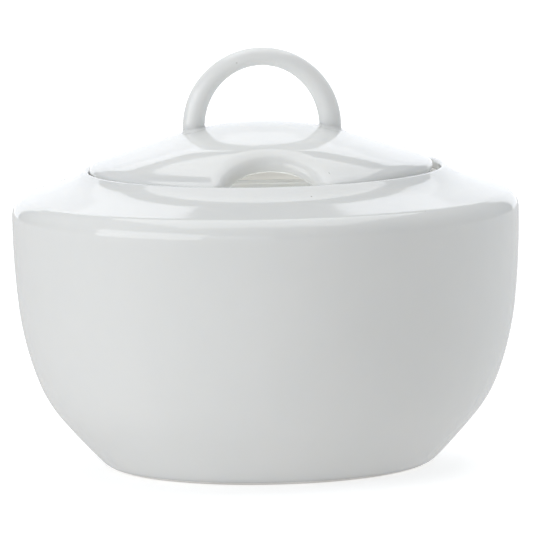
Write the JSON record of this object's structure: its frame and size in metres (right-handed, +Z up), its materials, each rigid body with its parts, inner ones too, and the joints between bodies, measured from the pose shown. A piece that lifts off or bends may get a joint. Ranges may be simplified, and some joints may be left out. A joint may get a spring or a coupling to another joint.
{
  "type": "sugar bowl",
  "caption": "Round lidded sugar bowl: deep curved wall, sloped shoulder, inset lid with a loop handle and a scooped spoon notch at the front.",
  "frame": {"origin": "centre of the foot, on the surface that the bowl stands on", "axes": "+Z up along the bowl's axis; the lid's spoon notch faces -Y; the lid's loop handle stands across X"},
  "size_m": [0.115, 0.115, 0.095],
  "materials": {
    "glaze": "gloss",
    "bare_clay": "matte"
  },
  "bodies": {
    "bowl": {"bowl_body": "glaze", "foot_ring": "bare_clay"},
    "seat_ring": {"lid_seat": "bare_clay"},
    "lid": {"lid_shell": "glaze", "lid_flange": "bare_clay", "lid_handle": "glaze", "handle_joint_left": "glaze", "handle_joint_right": "glaze"}
  },
  "joints": [
    {"name": "lid_turn", "type": "hinge", "parent": "bowl", "child": "seat_ring", "pos_m": [0, 0, 0.065], "axis": [0, 0, 1], "continuous": true},
    {"name": "lid_lift", "type": "slide", "parent": "seat_ring", "child": "lid", "axis": [0, 0, 1], "range_m": [0, 0.06]}
  ]
}
